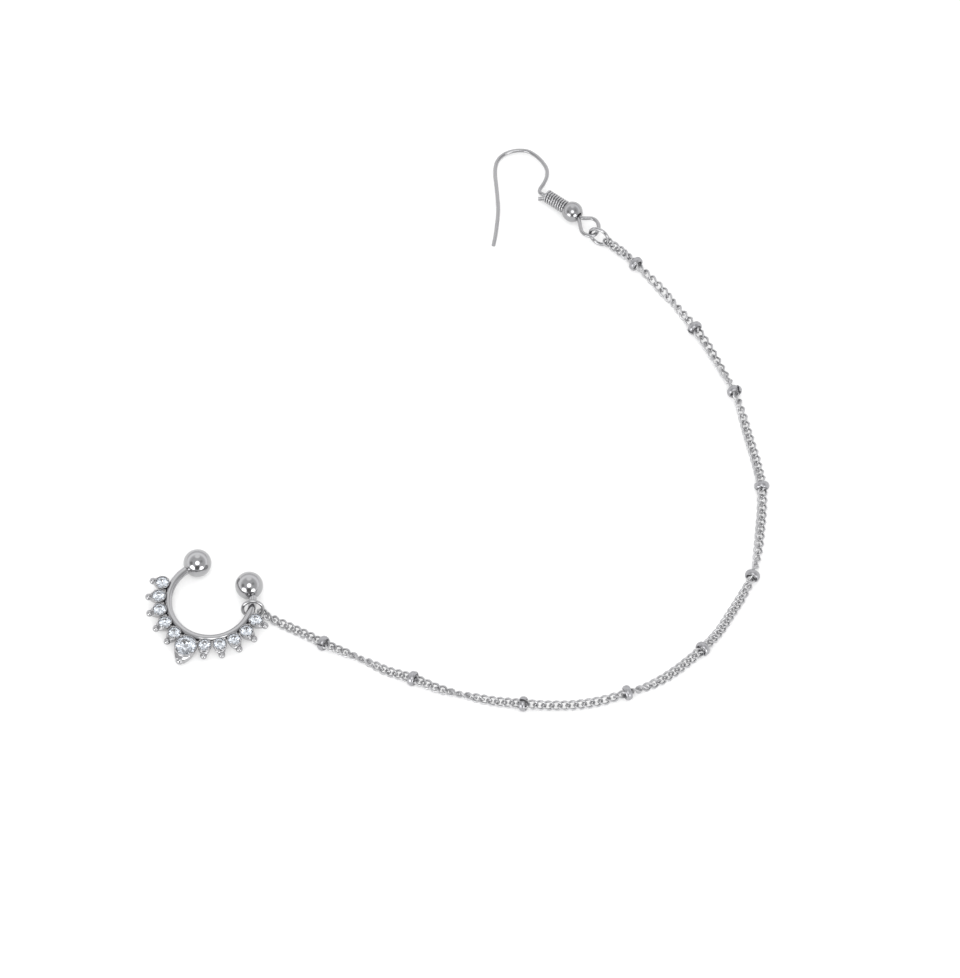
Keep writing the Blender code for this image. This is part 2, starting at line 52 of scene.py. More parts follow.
towardsCamera = (0.0, -0.5, 0.866)
bpy.ops.object.camera_add()
eye = bpy.context.object
eye.name = "photoCamera"
away = Vector((0.0, -cos(radians(camera["height"])), sin(radians(camera["height"]))))
eye.location = Vector(camera["aim"]) + away * camera["distance"]
eye.rotation_euler = (radians(90.0 - camera["height"]), 0.0, 0.0)
eye.data.sensor_fit = "HORIZONTAL"
eye.data.sensor_width = camera["sensor"]
eye.data.lens = camera["lens"]
eye.data.clip_start, eye.data.clip_end = camera["clip"]
bpy.context.scene.camera = eye
print("camera set")

cutThreshold = 0.00001  # points nearer to a cutting plane than this count as on it (mm)
seamWeld = 0.0005  # points nearer than this where a wire closes are made one (mm)


# helpers shared by the pieces; everything is modelled in mm and set in place at the end
def clearSelection():
    if bpy.context.mode != "OBJECT":
        bpy.ops.object.mode_set(mode="OBJECT")
    bpy.ops.object.select_all(action="DESELECT")


def pick(obj, test, kind="VERT"):
    # selects, in edit mode, the points or faces that pass the test
    bpy.ops.mesh.select_mode(type=kind)
    bpy.ops.mesh.select_all(action="DESELECT")
    bm = bmesh.from_edit_mesh(obj.data)
    for part in bm.verts if kind == "VERT" else bm.faces:
        part.select_set(bool(test(part)))
    bm.select_flush_mode()
    bmesh.update_edit_mesh(obj.data)


def pickOpenEdges():
    bpy.ops.mesh.select_mode(type="EDGE")
    bpy.ops.mesh.select_all(action="DESELECT")
    bpy.ops.mesh.select_non_manifold()


def faceOutwards(weld=0.0):
    # turns all faces outwards, once points nearer than the weld are made one
    bpy.ops.mesh.select_all(action="SELECT")
    if weld:
        bpy.ops.mesh.remove_doubles(threshold=weld)
    bpy.ops.mesh.normals_make_consistent(inside=False)


def cutAway(place, way):
    # cuts off all that lies beyond a plane and closes the cut
    bpy.ops.mesh.select_all(action="SELECT")
    bpy.ops.mesh.bisect(plane_co=place, plane_no=way, use_fill=True, clear_outer=True, threshold=cutThreshold)


def addModifier(obj, kind, **values):
    modifier = obj.modifiers.new(kind.lower(), kind)
    for key, value in values.items():
        setattr(modifier, key, value)
    bpy.context.view_layer.objects.active = obj
    bpy.ops.object.modifier_apply(modifier=modifier.name)


def copyOf(obj, name):
    twin = bpy.data.objects.new(name, obj.data.copy())
    bpy.context.scene.collection.objects.link(twin)
    return twin


def joinAll(objs, name):
    clearSelection()
    for obj in objs:
        obj.select_set(True)
    bpy.context.view_layer.objects.active = objs[0]
    bpy.ops.object.join()
    joined = bpy.context.object
    joined.name = name
    return joined


def bake(obj):
    # puts the object's own place into its mesh
    obj.data.transform(obj.matrix_basis)
    obj.matrix_basis = Matrix()


def setDown(obj, name, material, nodes, placing=Matrix(), smooth=35.0):
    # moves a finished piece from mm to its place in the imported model
    bake(obj)
    obj.name = name
    obj.data.name = name
    obj.data.transform(Matrix.Scale(mm, 4) @ Matrix.Translation(packShift) @ placing)
    obj.data.materials.clear()
    obj.data.materials.append(material)
    clearSelection()
    obj.select_set(True)
    bpy.context.view_layer.objects.active = obj
    bpy.ops.object.shade_smooth_by_angle(angle=radians(smooth))
    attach(obj, "root")
    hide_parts(*nodes)


# nodes and materials
def setInputs(node, values):
    for label, value in values.items():
        node.inputs[label].default_value = value
    return node


def remap(nodes, links, source, low, high, start=0.0, end=1.0):
    # stretches the values between low and high to those between start and end
    ranged = setInputs(
        nodes.new("ShaderNodeMapRange"), {"From Min": low, "From Max": high, "To Min": start, "To Max": end}
    )
    links.new(source, ranged.inputs["Value"])
    return ranged.outputs["Result"]


def mixColours(nodes, links, factor, first, second):
    # blends two colours, each a socket or three numbers
    mix = nodes.new("ShaderNodeMix")
    mix.data_type = "RGBA"
    links.new(factor, mix.inputs["Factor"])
    for label, colour in (("A", first), ("B", second)):
        if isinstance(colour, bpy.types.NodeSocket):
            links.new(colour, mix.inputs[label])
        else:
            mix.inputs[label].default_value = (*colour, 1.0)
    return mix.outputs["Result"]


def newMaterial(name):
    made = bpy.data.materials.new(name)
    made.use_nodes = True
    nodes = made.node_tree.nodes
    return made, nodes, made.node_tree.links, nodes["Principled BSDF"]


# marks and the painted crevice shade that all the metals share; each metal gives their scales
polishAndShadeLook = {
    "cloudDetail": 3.0,
    "scratchDetail": 5.0,
    "scratchRoughness": 0.65,
    "scratchStretch": (1.0, 0.18, 0.6),
    "scratchTurn": (0.3, 0.2, 0.7),
    "paintedShadeReach": 0.0004,
    "paintedShadeFrom": 0.25,
    "paintedShadeTo": 0.9,
    "paintedShadeSamples": 8,
}


def makePolishAndShadeGroup():
    # fine polishing marks, cloudy tone, and painted shade that darkens the crevices where light is blocked
    group = bpy.data.node_groups.new("polishMarksAndShade", "ShaderNodeTree")
    nodes = group.nodes
    links = group.links
    for label in ("Cloud Scale", "Scratch Scale", "Painted Shade Reach"):
        group.interface.new_socket(label, in_out="INPUT", socket_type="NodeSocketFloat")
    for label in ("Tone", "Scratch", "Painted Shade"):
        group.interface.new_socket(label, in_out="OUTPUT", socket_type="NodeSocketFloat")
    inlet = nodes.new("NodeGroupInput")
    outlet = nodes.new("NodeGroupOutput")
    where = nodes.new("ShaderNodeTexCoord")
    cloud = setInputs(nodes.new("ShaderNodeTexNoise"), {"Detail": polishAndShadeLook["cloudDetail"]})
    links.new(where.outputs["Object"], cloud.inputs["Vector"])
    links.new(inlet.outputs["Cloud Scale"], cloud.inputs["Scale"])
    stretch = setInputs(
        nodes.new("ShaderNodeMapping"),
        {"Scale": polishAndShadeLook["scratchStretch"], "Rotation": polishAndShadeLook["scratchTurn"]},
    )
    links.new(where.outputs["Object"], stretch.inputs["Vector"])
    scratch = setInputs(
        nodes.new("ShaderNodeTexNoise"),
        {"Detail": polishAndShadeLook["scratchDetail"], "Roughness": polishAndShadeLook["scratchRoughness"]},
    )
    links.new(stretch.outputs["Vector"], scratch.inputs["Vector"])
    links.new(inlet.outputs["Scratch Scale"], scratch.inputs["Scale"])
    # painted shade: ambient occlusion finds where light is blocked, and that mask darkens the metal's colour in
    # crevices
    shade = nodes.new("ShaderNodeAmbientOcclusion")
    shade.samples = polishAndShadeLook["paintedShadeSamples"]
    links.new(inlet.outputs["Painted Shade Reach"], shade.inputs["Distance"])
    paintedShade = remap(nodes, links, shade.outputs["AO"], polishAndShadeLook["paintedShadeFrom"], polishAndShadeLook["paintedShadeTo"], 1.0, 0.0)
    links.new(cloud.outputs["Fac"], outlet.inputs["Tone"])
    links.new(scratch.outputs["Fac"], outlet.inputs["Scratch"])
    links.new(paintedShade, outlet.inputs["Painted Shade"])
    return group


polishMarksAndShade = makePolishAndShadeGroup()

# plated metals: tones, the colour of the painted crevice shade, range of roughness, how strongly the scratches show,
# and the scales of the marks
metalLooks = {
    "ringSilver": {
        "light": (0.42, 0.42, 0.425),
        "dark": (0.36, 0.36, 0.37),
        "paintedShade": (0.2, 0.2, 0.21),
        "rough": (0.05, 0.14),
        "relief": 0.12,
        "cloudScale": 400.0,
        "scratchScale": 2600.0,
    },
    "jumpSilver": {
        "light": (0.42, 0.42, 0.425),
        "dark": (0.36, 0.36, 0.37),
        "paintedShade": (0.2, 0.2, 0.21),
        "rough": (0.1, 0.24),
        "relief": 0.2,
        "cloudScale": 400.0,
        "scratchScale": 2600.0,
    },
    "chainSilver": {
        "light": (0.52, 0.52, 0.525),
        "dark": (0.43, 0.43, 0.44),
        "paintedShade": (0.36, 0.36, 0.37),
        "rough": (0.34, 0.5),
        "relief": 0.25,
        "cloudScale": 400.0,
        "scratchScale": 2600.0,
    },
    "beadSilver": {
        "light": (0.4, 0.4, 0.41),
        "dark": (0.31, 0.31, 0.325),
        "paintedShade": (0.3, 0.3, 0.31),
        "rough": (0.24, 0.4),
        "relief": 0.5,
        "cloudScale": 900.0,
        "scratchScale": 5000.0,
    },
    "hookSilver": {
        "light": (0.38, 0.38, 0.385),
        "dark": (0.32, 0.32, 0.33),
        "paintedShade": (0.28, 0.28, 0.29),
        "rough": (0.1, 0.26),
        "relief": 0.2,
        "cloudScale": 400.0,
        "scratchScale": 2600.0,
    },
    "coilSilver": {
        "light": (0.46, 0.46, 0.465),
        "dark": (0.4, 0.4, 0.41),
        "paintedShade": (0.28, 0.28, 0.29),
        "rough": (0.16, 0.3),
        "relief": 0.2,
        "cloudScale": 400.0,
        "scratchScale": 2600.0,
    },
}
scratchRange = (0.3, 0.7)  # the part of the scratch noise that the roughness follows
reliefDepth = 0.00002  # of the scratches, in metres


def makeMetal(name, look):
    made, nodes, links, shader = newMaterial(name)
    shader.inputs["Metallic"].default_value = 1.0
    marks = nodes.new("ShaderNodeGroup")
    marks.node_tree = polishMarksAndShade
    setInputs(marks, {
        "Cloud Scale": look["cloudScale"],
        "Scratch Scale": look["scratchScale"],
        "Painted Shade Reach": polishAndShadeLook["paintedShadeReach"],
    })
    tone = mixColours(nodes, links, marks.outputs["Tone"], look["light"], look["dark"])
    # painted shade: the colour goes towards the darker shade colour where the occlusion mask says light is blocked
    shadedTone = mixColours(nodes, links, marks.outputs["Painted Shade"], tone, look["paintedShade"])
    links.new(shadedTone, shader.inputs["Base Color"])
    spread = remap(nodes, links, marks.outputs["Scratch"], *scratchRange, *look["rough"])
    links.new(spread, shader.inputs["Roughness"])
    relief = setInputs(nodes.new("ShaderNodeBump"), {"Strength": look["relief"], "Distance": reliefDepth})
    links.new(marks.outputs["Scratch"], relief.inputs["Height"])
    links.new(relief.outputs["Normal"], shader.inputs["Normal"])
    return made


# dark and light tints of the painted reflection specks, their roughness range, and the specks' scale and detail
crystalLook = {
    "refraction": 2.1,
    "dark": (0.07, 0.08, 0.095),
    "light": (0.54, 0.57, 0.61),
    "rough": (0.0, 0.05),
    "paintedSpeckleScale": 4500.0,
    "paintedSpeckleDetail": 2.0,
}


def makeCrystal():
    # clear cut stone, with fine light and dark specks painted into its colour as a painted reflection of the room
    # broken up by its facets
    made, nodes, links, shader = newMaterial("cutCrystal")
    setInputs(shader, {"Metallic": 0.0, "Transmission Weight": 1.0, "IOR": crystalLook["refraction"]})
    where = nodes.new("ShaderNodeTexCoord")
    paintedSpeckle = setInputs(
        nodes.new("ShaderNodeTexNoise"), {"Scale": crystalLook["paintedSpeckleScale"], "Detail": crystalLook["paintedSpeckleDetail"]}
    )
    links.new(where.outputs["Object"], paintedSpeckle.inputs["Vector"])
    # painted reflection: noise specks of dark and light tint stand for the room mirrored in the facets
    tint = mixColours(nodes, links, paintedSpeckle.outputs["Fac"], crystalLook["dark"], crystalLook["light"])
    links.new(tint, shader.inputs["Base Color"])
    links.new(remap(nodes, links, paintedSpeckle.outputs["Fac"], 0.0, 1.0, *crystalLook["rough"]), shader.inputs["Roughness"])
    return made


metals = {name: makeMetal(name, look) for name, look in metalLooks.items()}
cutCrystal = makeCrystal()
print("materials made")

# chain: where it lies, with a station bead where the last column says so (mm)
chainRoute = (
    (-25.3, -31.9, 0), (-23.3, -32.95, 0), (-20.8, -34.35, 0), (-18.9, -35.5, 1), (-15.9, -36.8, 0),
    (-12.7, -38.3, 0), (-9.6, -39.9, 0), (-6.2, -41.2, 1), (-2.5, -42.7, 0), (1.4, -43.8, 0),
    (5.4, -44.7, 0), (9.4, -45.3, 1), (13.1, -45.4, 0), (16.8, -45.3, 0), (20.6, -44.6, 0),
    (24.1, -43.5, 1), (27.1, -42.3, 0), (29.9, -40.6, 0), (32.5, -38.5, 0), (34.8, -36.4, 1),
    (37.0, -33.7, 0), (38.9, -30.5, 0), (40.6, -27.5, 0), (42.0, -24.5, 1), (42.8, -20.7, 0),
    (43.2, -17.0, 0), (43.5, -13.4, 0), (43.5, -9.8, 1), (42.8, -5.7, 0), (41.8, -1.7, 0),
    (40.9, 2.1, 0), (39.8, 5.9, 1), (38.5, 8.7, 0), (37.2, 11.3, 0), (35.8, 14.0, 0),
    (34.2, 16.5, 1), (32.3, 19.3, 0), (30.2, 22.2, 0), (28.1, 24.8, 0), (25.8, 27.3, 1),
    (24.7, 28.5, 0), (23.7, 29.5, 0),
)

# how the chain unwinds along its way: station number and degrees, 0 and every 180 showing the links' faces
chainTurns = (
    (0.12, 60.0), (0.3, 15.0), (0.75, -10.0), (0.92, -30.0), (1.24, -40.0), (1.41, -90.0), (1.58, -140.0),
    (1.82, -174.0), (2.1, -190.0), (2.28, -218.0), (2.43, -268.0), (2.58, -318.0), (2.78, -350.0),
    (3.1, -378.0), (3.4, -370.0), (3.75, -372.0), (4.05, -450.0), (4.3, -506.0), (4.45, -532.0),
    (4.9, -545.0), (5.08, -572.0), (5.24, -556.0), (5.72, -548.0), (6.05, -630.0), (6.3, -690.0),
    (6.5, -715.0), (6.95, -727.0), (7.03, -742.0), (7.14, -730.0), (7.62, -735.0), (7.95, -800.0),
    (8.2, -838.0), (8.36, -860.0), (8.6, -892.0), (8.95, -905.0), (9.12, -935.0), (9.37, -965.0),
    (9.58, -915.0), (9.89, -965.0), (10.3, -955.0), (10.6, -915.0),
)

# a link, how many there are between beads, and the height of their middle line at a bead and away from it
# (mm, degrees); the chain is moved forward a little, so that its height doesn't shift it in the photo
chainLook = {
    "halfLength": 0.84,
    "halfWidth": 0.6,
    "wire": 0.178,
    "ringSteps": 16,
    "wireSides": 6,
    "twist": 120.0,
    "counts": (9, 13, 15, 13, 12, 13, 13, 14, 10, 11, 5),
    "restHeight": 0.78,
    "beadHeight": 1.11,
    "shoulder": 1.0,
    "riseEnds": 4.0,
    "forward": 0.08,
    "pathSteps": 24,
    "aimReach": 0.5,
    "leastStartTurn": -30.0,
    "leastEndTurn": -1005.0,
}

# jump rings beside the nose ring and at the hook, each with the place of the link that hangs in it (mm, degrees)
jumpLook = {
    "radius": 1.45,
    "wire": 0.25,
    "ringCentre": (-28.92, -30.36, 1.72),
    "ringLean": 71.4,
    "ringTurn": 0.0,
    "ringLinkAngle": -30.0,
    "hookCentre": (20.52, 31.45, 1.72),
    "hookLean": 78.8,
    "hookTurn": -28.4,
    "hookLinkAngle": -12.0,
    "slack": 0.25,
    "ringSteps": 72,
    "wireSides": 16,
}


def jumpMatrix(side):
    turn = Matrix.Rotation(radians(jumpLook[side + "Turn"]), 4, "Z")
    return turn @ Matrix.Rotation(radians(jumpLook[side + "Lean"]), 4, "X")


def hookedLink(side, toward):
    # middle, direction and facing of the link that hangs in a jump ring
    axes = jumpMatrix(side).to_3x3()
    angle = radians(jumpLook[side + "LinkAngle"])
    onWire = Vector(jumpLook[side + "Centre"]) + axes @ Vector((cos(angle), sin(angle), 0.0)) * jumpLook["radius"]
    facing = axes @ Vector((-sin(angle), cos(angle), 0.0))
    along = toward - onWire
    along -= facing * along.dot(facing)
    along.normalize()
    return onWire + along * jumpLook["slack"], along, facing


def easedHeight(gap):
    share = min(1.0, max(0.0, (gap - chainLook["shoulder"]) / (chainLook["riseEnds"] - chainLook["shoulder"])))
    ease = share * share * (3.0 - 2.0 * share)
    return chainLook["beadHeight"] + (chainLook["restHeight"] - chainLook["beadHeight"]) * ease


def smoothPoint(before, start, end, after, t):
    # a point on the smooth curve from start to end, t from 0 to 1
    return 0.5 * (
        2 * start + (end - before) * t + (2 * before - 5 * start + 4 * end - after) * t * t
        + (3 * start - before - 3 * end + after) * t * t * t
    )


def chainPath():
    # a fine smooth path from the first link to the last, and how far along each station lies
    flat = [Vector((x, y - chainLook["forward"], 0.0)) for x, y, _ in chainRoute]
    stations = [place for place, row in zip(flat, chainRoute) if row[2]]
    raised = [place + Vector((0, 0, easedHeight(min((place - s).length for s in stations)))) for place in flat]
    first = hookedLink("ring", raised[0])
    last = hookedLink("hook", raised[-1])
    knots = [first[0], *raised, last[0]]
    padded = [2 * knots[0] - knots[1], *knots, 2 * knots[-1] - knots[-2]]
    path = []
    marks = []
    for index in range(len(knots) - 1):
        if 0 < index <= len(chainRoute) and chainRoute[index - 1][2]:
            marks.append(len(path))
        for step in range(chainLook["pathSteps"]):
            path.append(smoothPoint(*padded[index : index + 4], step / chainLook["pathSteps"]))
    path.append(knots[-1])
    lengths = [0.0]
    for a, b in zip(path, path[1:]):
        lengths.append(lengths[-1] + (b - a).length)
    return path, lengths, [0.0] + [lengths[m] for m in marks] + [lengths[-1]], first, last


def atLength(path, lengths, distance):
    low = 0
    high = len(lengths) - 1
    while high - low > 1:
        middle = (low + high) // 2
        if lengths[middle] <= distance:
            low = middle
        else:
            high = middle
    share = (distance - lengths[low]) / max(1e-9, lengths[high] - lengths[low])
    return path[low].lerp(path[high], share)


def facingCamera(along):
    # which way a link that runs along this direction faces when it shows its face in the photo
    up = Vector(towardsCamera)
    up -= along * up.dot(along)
    return up.normalized()


def turnAt(station, first, last):
    rows = ((0.0, first), *chainTurns, (float(len(chainLook["counts"])), last))
    for (a, low), (b, high) in zip(rows, rows[1:]):
        if station <= b:
            return low + (high - low) * (station - a) / (b - a)
    return last


def leastTurn(angle, least):
    # links look alike every half turn, so this gives the first such turn past the least
    return (angle - least) % 180.0 + least


def signedAngle(start, end, axis):
    return degrees(atan2(axis.dot(start.cross(end)), start.dot(end)))


def modelLink():
    # a round ring of wire, pulled long and twisted, as curb links are
    half = chainLook["ringSteps"] // 2
    clearSelection()
    bpy.ops.mesh.primitive_torus_add(
        major_segments=chainLook["ringSteps"],
        minor_segments=chainLook["wireSides"],
        major_radius=chainLook["halfWidth"],
        minor_radius=chainLook["wire"],
    )
    link = bpy.context.object
    grow = chainLook["halfLength"] - chainLook["halfWidth"]
    steps = {v.index: round(atan2(v.co.y, v.co.x) / (pi / half)) for v in link.data.vertices}
    bpy.ops.object.mode_set(mode="EDIT")
    for step in range(1 - half, half + 1):
        pick(link, lambda v: steps[v.index] == step or step == half and steps[v.index] == -half)
        bpy.ops.transform.translate(value=(grow * cos(step * pi / half), 0.0, 0.0))
    bpy.ops.object.mode_set(mode="OBJECT")
    addModifier(link, "SIMPLE_DEFORM", deform_method="TWIST", deform_axis="X", angle=radians(chainLook["twist"]))
    return link


def linkMatrix(place, along, roll):
    up = facingCamera(along)
    up = Matrix.Rotation(radians(roll), 3, along) @ up
    side = up.cross(along)
    return Matrix.Translation(place) @ Matrix((along, side, up)).transposed().to_4x4()


def buildChain():
    # copies the link along the path, turned as the table says, and returns where the station beads sit
    path, lengths, marks, first, last = chainPath()
    half = chainLook["twist"] / 2
    reach = chainLook["aimReach"]
    endAlong = -last[1]
    startTurn = leastTurn(signedAngle(facingCamera(first[1]), first[2], first[1]) + half, chainLook["leastStartTurn"])
    endTurn = leastTurn(signedAngle(facingCamera(endAlong), last[2], endAlong) - half, chainLook["leastEndTurn"])
    print("chain", round(lengths[-1], 1), "mm, end turns", round(startTurn), round(endTurn))
    model = modelLink()
    links = []
    beadPlaces = []
    for span in range(len(marks) - 1):
        gap = marks[span + 1] - marks[span]
        count = chainLook["counts"][span]
        lastSpan = span == len(marks) - 2
        for step in range(count + (1 if lastSpan else 0)):
            distance = marks[span] + gap * step / count
            place = atLength(path, lengths, distance)
            before = atLength(path, lengths, max(0.0, distance - reach))
            after = atLength(path, lengths, min(lengths[-1], distance + reach))
            along = (after - before).normalized()
            if span == 0 and step == 0:
                along = first[1]
            if lastSpan and step == count:
                along = endAlong
            roll = turnAt(span + step / count, startTurn, endTurn)
            link = copyOf(model, f"link{len(links):03d}")
            link.data.transform(linkMatrix(place, along, roll))
            links.append(link)
            if step == 0 and span > 0:
                beadPlaces.append(linkMatrix(place, along, 0.0))
    bpy.data.objects.remove(model, do_unlink=True)
    print(len(links), "links")
    chain = joinAll(links, "curbChain")
    setDown(chain, "curbChain", metals["chainSilver"], ["satellite_chain"], smooth=60.0)
    return beadPlaces


beadPlaces = buildChain()

# station beads: short crimped rings, each with its own lean and seam place (mm, degrees)
beadLook = {
    "outer": 1.1,
    "inner": 0.62,
    "halfLength": 0.46,
    "ringSteps": 40,
    "wallSides": 14,
    "halfSeam": 9.0,
    "leans": (-16.0, -10.0, -13.0, 3.0, 11.0, 3.0, -12.0, 2.0, 1.0, 2.0),
    "seamTurns": (200.0, 90.0, 150.0, 40.0, 300.0, 10.0, 330.0, 220.0, 120.0, 60.0),
}


def modelStationBead():
    # a thick ring with a rounded wall and a seam on one side
    def inSeam(face):
        middle = face.calc_center_median()
        return abs(atan2(middle.y, middle.x)) < radians(beadLook["halfSeam"])

    wall = (beadLook["outer"] - beadLook["inner"]) / 2
    clearSelection()
    bpy.ops.mesh.primitive_torus_add(
        major_segments=beadLook["ringSteps"],
        minor_segments=beadLook["wallSides"],
        major_radius=(beadLook["outer"] + beadLook["inner"]) / 2,
        minor_radius=wall,
    )
    bead = bpy.context.object
    bpy.ops.object.mode_set(mode="EDIT")
    bpy.ops.mesh.select_all(action="SELECT")
    bpy.ops.transform.resize(value=(1.0, 1.0, beadLook["halfLength"] / wall))
    pick(bead, inSeam, "FACE")
    bpy.ops.mesh.delete(type="FACE")
    pickOpenEdges()
    bpy.ops.mesh.edge_face_add()
    bpy.ops.object.mode_set(mode="OBJECT")
    return bead


def buildStationBeads():
    model = modelStationBead()
    upright = Matrix.Rotation(radians(90.0), 4, "Y")
    for index, matrix in enumerate(beadPlaces):
        number = f"{index + 1:02d}"
        name = "crimpBead_" + number
        bead = copyOf(model, name)
        lean = Matrix.Rotation(radians(beadLook["leans"][index]), 4, "Y")
        seam = Matrix.Rotation(radians(beadLook["seamTurns"][index]), 4, "X")
        placing = matrix @ lean @ seam @ upright
        setDown(bead, name, metals["beadSilver"], ["station_bead_" + number], placing, smooth=40.0)
    bpy.data.objects.remove(model, do_unlink=True)


buildStationBeads()
print("station beads placed")


def buildJumpRing(side, name, node):
    # a closed ring of round wire
    clearSelection()
    bpy.ops.mesh.primitive_torus_add(
        major_segments=jumpLook["ringSteps"],
        minor_segments=jumpLook["wireSides"],
        major_radius=jumpLook["radius"],
        minor_radius=jumpLook["wire"],
    )
    ring = bpy.context.object
    placing = Matrix.Translation(jumpLook[side + "Centre"]) @ jumpMatrix(side)
    setDown(ring, name, metals["jumpSilver"], [node], placing)


buildJumpRing("ring", "ringJumpLoop", "ring_jump_ring")
buildJumpRing("hook", "hookJumpLoop", "hook_jump_ring")
print("jump rings placed")

# nose ring, about the middle of its bar's circle, the large stone towards -Y (mm, degrees)
ringLook = {
    "centre": (-34.95, -29.1, 1.8),
    "tilt": 3.1,
    "turn": -24.5,
    "front": -90.0,
    "barCircle": 6.0,
    "barRadius": 0.58,
    "barSides": 28,
    "barSteps": 110,
    "ballCircles": (6.32, 5.98),
    "ballRadius": 2.0,
    "ballSides": (64, 32),
    "halfSweep": 138.0,
}
ringPlace = (
    Matrix.Translation(ringLook["centre"])
    @ Matrix.Rotation(radians(ringLook["turn"]), 4, "Z")
    @ Matrix.Rotation(radians(ringLook["tilt"]), 4, "X")
)

# settings, each about its stone's middle: place, cup, spur in steps (reach, width, height) and round tip
smallSetting = {
    "circle": 7.32,
    "stone": 0.85,
    "girdle": 0.72,
    "bottom": -1.82,
    "spurFrom": 0.5,
    "spur": ((0.22, 0.8, 0.88), (0.18, 0.8, 0.88), (0.16, 0.82, 0.85)),
    "tip": 0.49,
    "tipAt": 1.48,
    "tipHeight": -0.6,
}
largeSetting = {
    "circle": 8.12,
    "stone": 1.47,
    "girdle": 0.82,
    "bottom": -2.12,
    "spurFrom": 0.5,
    "spur": ((0.26, 0.84, 0.9), (0.22, 0.78, 0.88), (0.2, 0.74, 0.8)),
    "tip": 0.6,
    "tipAt": 2.1,
    "tipHeight": -0.95,
}
settingLook = {
    "perSide": 5,
    "firstStep": 18.9,
    "step": 17.0,
    "clearance": 0.06,
    "wall": 0.14,
    "rise": 0.1,
    "belly": -0.15,
    "tapers": (1.02, 0.84, 0.62),
    "sides": 16,
    "rounding": 2,
    "spurThins": 0.6,
    "wellLip": 0.16,
    "wellDepth": 0.78,
    "wellFoot": 0.35,
    "tipSides": (24, 14),
}
prongLook = {
    "angles": (50.0, 130.0, 230.0, 310.0),
    "thick": 0.13,
    "thickPerStone": 0.05,
    "headShare": 0.2,
    "lean": 0.25,
    "length": 0.5,
    "past": 0.02,
    "height": 0.14,
    "sides": (12, 8),
}


def settingRows():
    front = ringLook["front"]
    rows = [("stone_large", largeSetting, front)]
    for index in range(settingLook["perSide"]):
        angle = settingLook["firstStep"] + settingLook["step"] * index
        rows.append((f"stone_left_{index + 1}", smallSetting, front - angle))
        rows.append((f"stone_right_{index + 1}", smallSetting, front + angle))
    return rows


def ringPoint(radius, angle, z=0.0):
    return Vector((radius * cos(radians(angle)), radius * sin(radians(angle)), z))


def modelBar():
    # the bar is spun from a circle of wire about the ring's middle
    clearSelection()
    start = ringLook["front"] - ringLook["halfSweep"]
    bpy.ops.mesh.primitive_circle_add(
        vertices=ringLook["barSides"], radius=ringLook["barRadius"], fill_type="NGON"
    )
    bar = bpy.context.object
    turn = Matrix.Rotation(radians(start), 4, "Z") @ Matrix.Translation((ringLook["barCircle"], 0.0, 0.0))
    bar.data.transform(turn @ Matrix.Rotation(radians(90.0), 4, "X"))
    bpy.ops.object.mode_set(mode="EDIT")
    bpy.ops.mesh.select_all(action="SELECT")
    bpy.ops.mesh.spin(
        steps=ringLook["barSteps"],
        angle=-radians(2 * ringLook["halfSweep"]),
        center=(0.0, 0.0, 0.0),
        axis=(0.0, 0.0, 1.0),
    )
    faceOutwards(seamWeld)
    bpy.ops.object.mode_set(mode="OBJECT")
    return bar


def modelSphere(radius, sides, place):
    clearSelection()
    bpy.ops.mesh.primitive_uv_sphere_add(segments=sides[0], ring_count=sides[1], radius=radius)
    ball = bpy.context.object
    ball.data.transform(Matrix.Translation(place))
    return ball


def modelBall(side, angle):
    return modelSphere(
        ringLook["ballRadius"], ringLook["ballSides"], ringPoint(ringLook["ballCircles"][side], angle)
    )


def modelCup(size):
    # a cup drawn down from its rim, a spur pulled out of one side, and a well for the stone
    seat = size["stone"] + settingLook["clearance"]
    cup = seat + settingLook["wall"]
    height = settingLook["rise"]
    belly = settingLook["belly"]
    low = belly - cup
    clearSelection()
    bpy.ops.mesh.primitive_circle_add(
        vertices=settingLook["sides"], radius=cup, fill_type="NGON", location=(0.0, 0.0, height)
    )
    body = bpy.context.object
    bake(body)
    bpy.ops.object.mode_set(mode="EDIT")
    bpy.ops.mesh.select_all(action="SELECT")
    for z, scale in zip((belly, low, size["bottom"]), settingLook["tapers"]):
        bpy.ops.mesh.extrude_region_move(TRANSFORM_OT_translate={"value": (0.0, 0.0, z - height)})
        bpy.ops.transform.resize(value=(scale, scale, 1.0), center_override=(0.0, 0.0, z))
        height = z
    faceOutwards()
    # spur
    pick(body, lambda f: f.normal.x > size["spurFrom"] and low < f.calc_center_median().z < belly, "FACE")
    for reach, wide, high in size["spur"]:
        bpy.ops.mesh.extrude_region_move(TRANSFORM_OT_translate={"value": (reach * cup, 0.0, 0.0)})
        bpy.ops.transform.resize(value=(settingLook["spurThins"], wide, high))
    # well for the stone, down from the flat rim
    pick(body, lambda f: f.normal.z > 0.9 and f.calc_center_median().z > 0.0 and len(f.verts) > 8, "FACE")
    bpy.ops.mesh.inset(thickness=settingLook["wall"], depth=0.0)
    for depth in (settingLook["wellLip"], settingLook["wellDepth"] * size["stone"]):
        bpy.ops.mesh.extrude_region_move(TRANSFORM_OT_translate={"value": (0.0, 0.0, -depth)})
    bpy.ops.transform.resize(value=(settingLook["wellFoot"], settingLook["wellFoot"], 1.0))
    bpy.ops.object.mode_set(mode="OBJECT")
    addModifier(body, "SUBSURF", levels=settingLook["rounding"], render_levels=settingLook["rounding"])
    return body


def modelTip(size):
    # the round bead at the end of the spur
    return modelSphere(size["tip"], settingLook["tipSides"], (size["tipAt"], 0.0, size["tipHeight"]))


